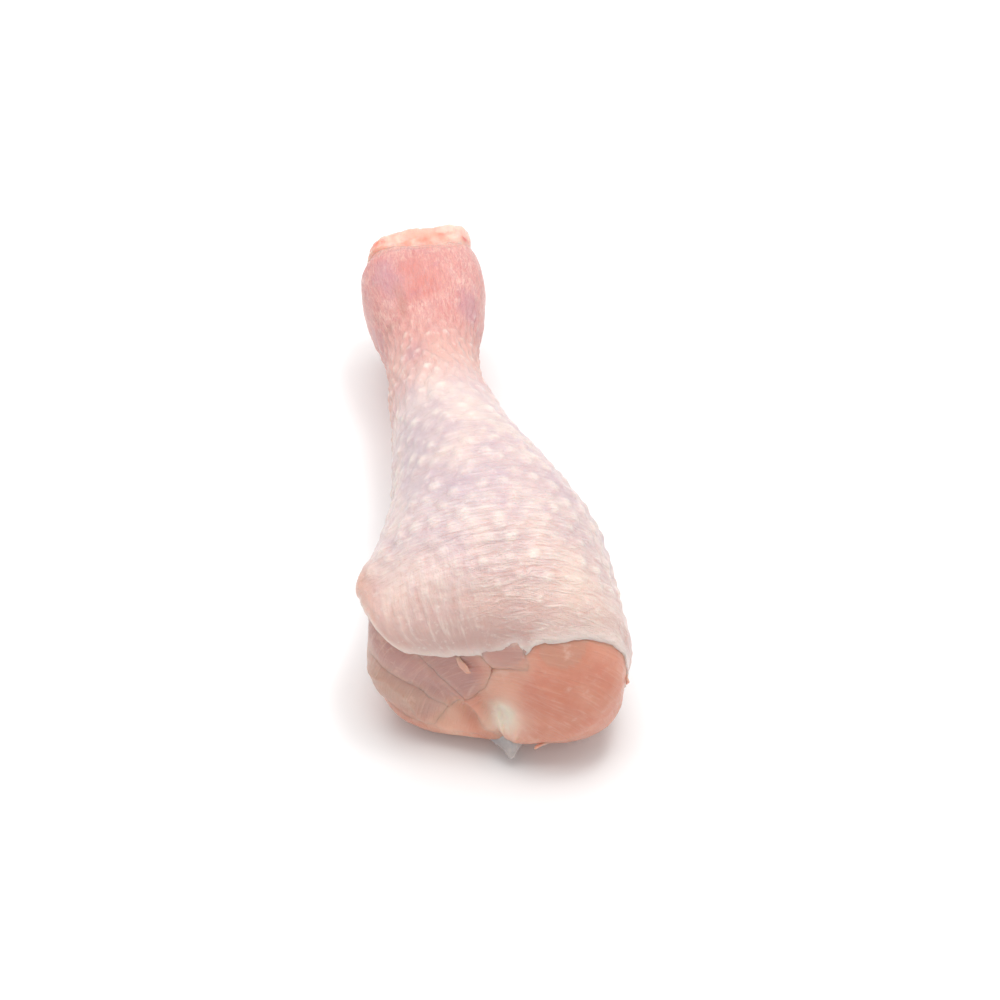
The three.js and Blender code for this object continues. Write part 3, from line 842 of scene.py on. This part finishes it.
class Meat:
    """The surface all six muscles share: its height with every lump and strand, and the marks for its colour, painted
    light and shade among them.
    """

    def __init__(self, shape, sizes):
        self.s, self.angle = np.meshgrid(shape.s, shape.phi, indexing="ij")
        base = shape.points(self.s, self.angle, shape.meat)
        bare = 1 - smooth_step(44, 52, self.s)
        near = self.s < 52
        seam = np.zeros(self.s.shape)
        for number in range(len(MUSCLES)):
            belongs = blurred((shape.owner == number).astype(float), 14)
            seam = np.maximum(seam, 4 * belongs * (1 - belongs))
        seam = seam * bare * smooth_step(7, 15, self.s)
        left = smooth_step(math.radians(104), math.radians(122), self.angle) * (self.angle < math.radians(215))
        groove = seam**2 * sizes.groove_depth / MM * mix(0.06, 1.0, left) * (0.75 + 0.35 * clouds(base, 6, 63))
        lift = np.zeros(self.s.shape)
        pale = np.zeros(self.s.shape)
        for line, width, height, paleness in STRANDS:
            away = np.full(self.s.shape, 99.0)
            away[near] = distance_to_line(shape, line, base[near])
            broken = 0.6 + 0.6 * clouds(base, 3.5, 65)
            lift += height * bell(away, 1.3 * width)
            pale = np.maximum(pale, paleness * bell(away, width) * broken)
        disc = self.around(shape, base, 23.0, 90, 5.0, 5.9)
        hidden = smooth_step(0.3, 2.5, self.s - skin_edges(shape.phi)[0])
        lift += 0.55 * disc + bare * (0.45 * clouds(base, 9, 41) + 0.12 * clouds(base, 2.6, 51))
        self.reach = shape.meat - groove + mix(lift, np.minimum(lift, 0) - 0.4, hidden)
        sector = smooth_step(math.radians(96), math.radians(116), self.angle) * (
            1 - smooth_step(math.radians(176), math.radians(196), self.angle)
        )
        degrees = np.degrees(self.angle)
        fold = np.interp(degrees, *TIP_FOLD)
        mauve = sector * smooth_step(-1.0, 2.5, self.s - fold + 1.2 * clouds(base, 4, 67))
        tan = sector * smooth_step(math.radians(150), math.radians(168), self.angle) * smooth_step(17, 22, self.s)
        veil = self.around(shape, base, 23.5, 66, 5.0, 5.6)
        glow = np.exp(-((np.linalg.norm(base - self.spot(shape, 6.5, 88), axis=-1) / 4.4) ** 2)) * 1.15
        self.marks = {
            "along_mm": self.s,
            "round_mm": self.angle * RADIUS,
            "sheath": np.clip(pale, 0, 1),
            # Painted shade in the valleys between the muscles on the left
            "painted_seam_shade": np.clip(seam**3 * left, 0, 1),
            # Pale tissue along the seams, partly painted light over the shade where the muscles meet
            "seam": np.clip(seam * (0.55 + 0.6 * clouds(base, 3, 73)), 0, 1),
            "peach": self.around(shape, base, 14.5, 93, 1.5, 6.5),
            # Painted light on the lip low on the left, which is shaded from below
            "lip": bell(self.s - 13.0, 4.5) * bell(turn_between(math.radians(190), self.angle), math.radians(34)),
            "mauve": np.clip(mauve + 0.9 * disc, 0, 1),
            "tan": np.clip(tan, 0, 1),
            "veil": veil * (1 - disc),
            "gristle": np.clip(glow, 0, 1),
        }

    def spot(self, shape, along, degrees):
        place = np.array([along]), np.radians([degrees])
        return shape.points(*place, shape.read(shape.meat, *place))[0]

    def around(self, shape, base, along, degrees, inside, outside):
        """1 near a spot on the meat, falling to 0 between two distances."""
        away = np.linalg.norm(base - self.spot(shape, along, degrees), axis=-1)
        return 1 - smooth_step(inside, outside, away + 0.5 * clouds(base, 4, 69))


def make_muscle(shape, meat, number, name):
    """One muscle: its patch of the shared surface, tucked under its neighbours, and closed round the bone."""
    belongs = blurred((shape.owner == number).astype(float), 6)
    tuck = 1.6 * (1 - smooth_step(0.12, 0.5, belongs))
    reach = meat.reach - tuck
    outer = shape.points(meat.s, meat.angle, reach)
    outer[..., 2] = np.maximum(outer[..., 2], 0.6)
    inner = shape.points(meat.s, meat.angle, np.minimum(reach - 1.0, np.maximum(5.0, 0.3 * reach)))
    kept = (belongs > 0.12) & (meat.s < shape.end - shape.hock_arc - 2)
    points, faces, used = slab(outer, inner, kept)
    marks = {key: np.tile(values.reshape(-1)[used], 2) for key, values in meat.marks.items()}
    for place, tag in enumerate(TAGS):
        if tag[0] == name:
            leaf, leaf_faces, leaf_marks = make_tag(shape, meat, place, tag[1:])
            faces += [[corner + len(points) for corner in face] for face in leaf_faces]
            points = np.concatenate([points, leaf])
            marks = {key: np.concatenate([values, leaf_marks[key]]) for key, values in marks.items()}
    return new_piece(name + "_flesh", points, faces, marks, meat_finish(name + "_meat", MEAT_TINTS[name]))


def make_tag(shape, meat, number, tag):
    """A loose tag of tissue: a flat, wavy leaf lying on the meat."""
    along, degrees, length, width, lean = tag
    centre = meat.spot(shape, along, degrees)
    out = shape.direction(np.array([along]), np.radians([degrees]))[0]
    side = unit(np.cross([0.0, 0.0, 1.0], out))
    up = np.cross(out, side)
    turn = math.radians(lean)
    long_way = math.cos(turn) * side + math.sin(turn) * up
    wide_way = np.cross(out, long_way)
    rings, count = 25, 24
    u, v = np.meshgrid(np.linspace(0, math.pi, rings), np.linspace(0, TURN, count, endpoint=False), indexing="ij")
    thin = np.sin(u) ** 0.6
    taper = 0.45 + 0.55 * u / math.pi
    x, y, z = np.cos(u) * length / 2, thin * taper * np.cos(v) * width / 2, thin * taper * np.sin(v) * 0.4 + 0.4
    y = y + 0.5 * np.sin(1.6 * u)
    leaf = centre + x[..., None] * long_way + y[..., None] * wide_way + z[..., None] * out
    leaf = leaf + 0.3 * np.stack([cloud(leaf, 1.3, 80 + 3 * number + axis) for axis in range(3)], -1)
    faces = ring_faces(rings, count, False)
    marks = {key: np.full(rings * count, {"sheath": 0.45, "along_mm": along}.get(key, 0.0)) for key in meat.marks}
    return leaf.reshape(-1, 3), faces, marks


# ---- Bone and ankle


def make_bone(shape):
    """The shin bone with its two gristly heads, rounded from the frame's own solid and drawn out at the tip."""
    piece = placed("shin_bone_gristle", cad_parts["shin_bone"].data.copy())
    piece.data.materials.clear()
    piece.data.materials.append(gristle_finish())
    pole = Vector(shape.knee_pole)
    knee = Vector(shape.knee) * MM
    for vertex in piece.data.vertices:
        depth = (vertex.co - knee).dot(pole) / MM
        if depth > 2:
            vertex.co = knee + (vertex.co - knee) * shape.covered(np.array(vertex.co - knee) / MM)
            vertex.co += pole * max(0.0, depth - 19) * 0.24 * MM
            vertex.co.x += 1.6 * MM * float(smooth_step(19, 26, depth))
    weld = piece.modifiers.new("weld", "WELD")
    weld.merge_threshold = 0.01 * MM
    remesh = piece.modifiers.new("even", "REMESH")
    remesh.mode = "VOXEL"
    remesh.voxel_size = 0.6 * MM
    remesh.use_smooth_shade = True
    smooth = piece.modifiers.new("worn", "SMOOTH")
    smooth.iterations = 3
    return piece


def make_ankle(shape):
    """Soft tissue of the ankle: a blunt boxy stump that starts under the skin and stands out of it."""
    low, high = box_mm("ankle_tissue")
    middle = (low + high) / 2
    half = (high - low) / 2
    rim_y = high[1] + 0.5
    corner = 2.3
    squareness = 4.6
    count = 220
    angle = np.arange(count) * TURN / count
    inside = [(y, 0.0) for y in np.arange(rim_y - 26, rim_y - corner, 0.5)]
    rounding = [(rim_y - corner + corner * math.sin(a), corner * (1 - math.cos(a))) for a in np.linspace(0, 1.45, 9)]
    cap = [(rim_y - 0.4 * k, corner + 0.8 * k) for k in range(1, 10)]
    rings = []
    for y, inset in inside + rounding + cap:
        wide, tall = 1.03 * half[0] - inset, 1.06 * half[2] - inset
        boxy = (np.abs(np.cos(angle)) / wide) ** squareness + (np.abs(np.sin(angle)) / tall) ** squareness
        s = np.full(count, min(shape.knee_arc + y - shape.knee[1], shape.end - shape.hock_arc))
        covered = shape.read(shape.meat, s, angle) - 0.3
        reach = mix(covered, boxy ** (-1 / squareness), smooth_step(rim_y - 8.5, rim_y - 5, y))
        x, z = reach * np.cos(angle), reach * np.sin(angle)
        slant = 0.11 * (x - half[0]) * smooth_step(rim_y - 8, rim_y - 2, y)
        rings.append(np.stack([middle[0] + x, y + slant, middle[2] + z], -1))
    base = np.array(rings)
    normals = normals_of(base)
    bare = smooth_step(rim_y - 7, rim_y - 4, base[..., 1])
    lumps = bare * (0.85 * clouds(base, 4.5, 71) + 0.35 * clouds(base, 1.8, 75))
    points = base + normals * lumps[..., None]
    rows = len(points)
    faces = ring_faces(rows, count, False)
    faces.append(list(range(count)))
    faces.append([(rows - 1) * count + j for j in range(count)][::-1])
    from_end = rim_y - base[..., 1]
    blood = bell(base[..., 0] - middle[0] - 10.9, 0.8) * bell(from_end - 5.2, 0.7)
    fat = 0
    for across, back, width in ((1.2, 6.0, 1.9), (-2.6, 6.2, 1.2), (5.2, 4.8, 1.3), (-10.6, 4.6, 1.4)):
        fat = fat + bell(base[..., 0] - middle[0] - across, width) * bell(from_end - back, 1.4)
    fat = fat * (0.7 + 0.6 * clouds(base, 1.8, 77))
    above = base[..., 2] > middle[2]
    attributes = {"blood": np.clip(blood * above, 0, 1).ravel(), "fat": np.clip(fat * above, 0, 1).ravel()}
    return new_piece("ankle_sinews", points.reshape(-1, 3), faces, attributes, sinew_finish())


# ---- Operators


class DRUMSTICK_OT_muscles(bpy.types.Operator):
    """Model the six muscles round the shin bone"""

    bl_idname = "drumstick.muscles"
    bl_label = "Muscles"

    def execute(self, context):
        meat = Meat(form(), context.scene.drumstick_sizes)
        for number, name in enumerate(MUSCLES):
            finish_piece(make_muscle(form(), meat, number, name), name)
        return {"FINISHED"}


class DRUMSTICK_OT_bone(bpy.types.Operator):
    """Model the shin bone and its gristle"""

    bl_idname = "drumstick.bone"
    bl_label = "Bone"

    def execute(self, context):
        finish_piece(make_bone(form()), "shin_bone")
        return {"FINISHED"}


class DRUMSTICK_OT_ankle(bpy.types.Operator):
    """Model the soft tissue of the ankle"""

    bl_idname = "drumstick.ankle"
    bl_label = "Ankle"

    def execute(self, context):
        finish_piece(make_ankle(form()), "ankle_tissue")
        return {"FINISHED"}


class DRUMSTICK_OT_skin(bpy.types.Operator):
    """Model the skin with its follicles and creases"""

    bl_idname = "drumstick.skin"
    bl_label = "Skin"

    def execute(self, context):
        finish_piece(make_skin(form(), context.scene.drumstick_sizes), "skin")
        return {"FINISHED"}


def finish_piece(piece, node):
    """A piece stands for its CAD node, rides with the drumstick and hides the node."""
    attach(piece, "root")
    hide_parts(node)


class DRUMSTICK_OT_stage(bpy.types.Operator):
    """Set up the table, the light and the camera"""

    bl_idname = "drumstick.stage"
    bl_label = "Stage"

    def execute(self, context):
        lay_floor(context.scene.drumstick_colours.table)
        hang_lights(context.scene)
        set_camera(context.scene)
        return {"FINISHED"}


def lay_floor(colour):
    half, under = 3.0, -0.0001
    corners = [(x * half, y * half, under) for x, y in ((-1, -1), (1, -1), (1, 1), (-1, 1))]
    mesh = bpy.data.meshes.new("table")
    mesh.from_pydata(corners, [], [(0, 1, 2, 3)])
    floor = placed("table", mesh)
    f = Finish("table_top", Roughness=0.55, IOR=1.3)
    duller = tuple(c * 0.985 for c in colour)
    f.feed(f.shader.inputs["Base Color"], f.blend(f.noise(f.place(), 3.0, 2), duller, colour))
    mesh.materials.append(f.material)


def hang_lights(scene):
    """A bright soft sky, a large lamp over the back left and a smaller one in front."""
    world = bpy.data.worlds.new("studio")
    scene.world = world
    world.use_nodes = True
    world.node_tree.nodes["Background"].inputs["Color"].default_value = (1, 1, 1, 1)
    world.node_tree.nodes["Background"].inputs["Strength"].default_value = 0.6
    for name, place, size, power in (
        ("key", (0.02, 0.16, 0.88), 0.7, 5.3),
        ("spark", (0.16, 0.05, 0.8), 0.14, 0.9),
    ):
        light = bpy.data.lights.new(name, "AREA")
        light.size = size
        light.energy = power
        lamp = placed(name, light)
        lamp.location = place
        lamp.rotation_euler = (Vector((0, 0, 0)) - Vector(place)).to_track_quat("-Z", "Y").to_euler()
    scene.view_settings.view_transform = "Standard"


def set_camera(scene):
    azimuth, elevation = math.radians(-7.5), math.radians(51)
    level = math.cos(elevation)
    back = Vector((math.sin(azimuth) * level, -math.cos(azimuth) * level, math.sin(elevation)))
    target = Vector((6.6, -6.9, 20)) * MM
    data = bpy.data.cameras.new("camera")
    data.lens = 100
    data.sensor_width = 36
    data.clip_end = 20
    camera = placed("camera", data)
    camera.location = target + back * 0.62
    camera.rotation_euler = (-back).to_track_quat("-Z", "Y").to_euler()
    scene.camera = camera


class DRUMSTICK_PT_panel(bpy.types.Panel):
    """Lists the drumstick's pieces"""

    bl_label = "Drumstick"
    bl_idname = "DRUMSTICK_PT_panel"
    bl_space_type = "VIEW_3D"
    bl_region_type = "UI"
    bl_category = "Drumstick"

    def draw(self, context):
        for operator in OPERATORS:
            self.layout.operator(operator.bl_idname)


OPERATORS = (DRUMSTICK_OT_muscles, DRUMSTICK_OT_bone, DRUMSTICK_OT_ankle, DRUMSTICK_OT_skin, DRUMSTICK_OT_stage)
CLASSES = (DrumstickSizes, DrumstickColours, *OPERATORS, DRUMSTICK_PT_panel)


def register():
    for each in CLASSES:
        bpy.utils.register_class(each)
    bpy.types.Scene.drumstick_sizes = PointerProperty(type=DrumstickSizes)
    bpy.types.Scene.drumstick_colours = PointerProperty(type=DrumstickColours)


def unregister():
    del bpy.types.Scene.drumstick_colours
    del bpy.types.Scene.drumstick_sizes
    for each in reversed(CLASSES):
        bpy.utils.unregister_class(each)


def main():
    register()
    for operator in OPERATORS:
        group, name = operator.bl_idname.split(".")
        getattr(getattr(bpy.ops, group), name)()


if __name__ == "__main__":
    main()
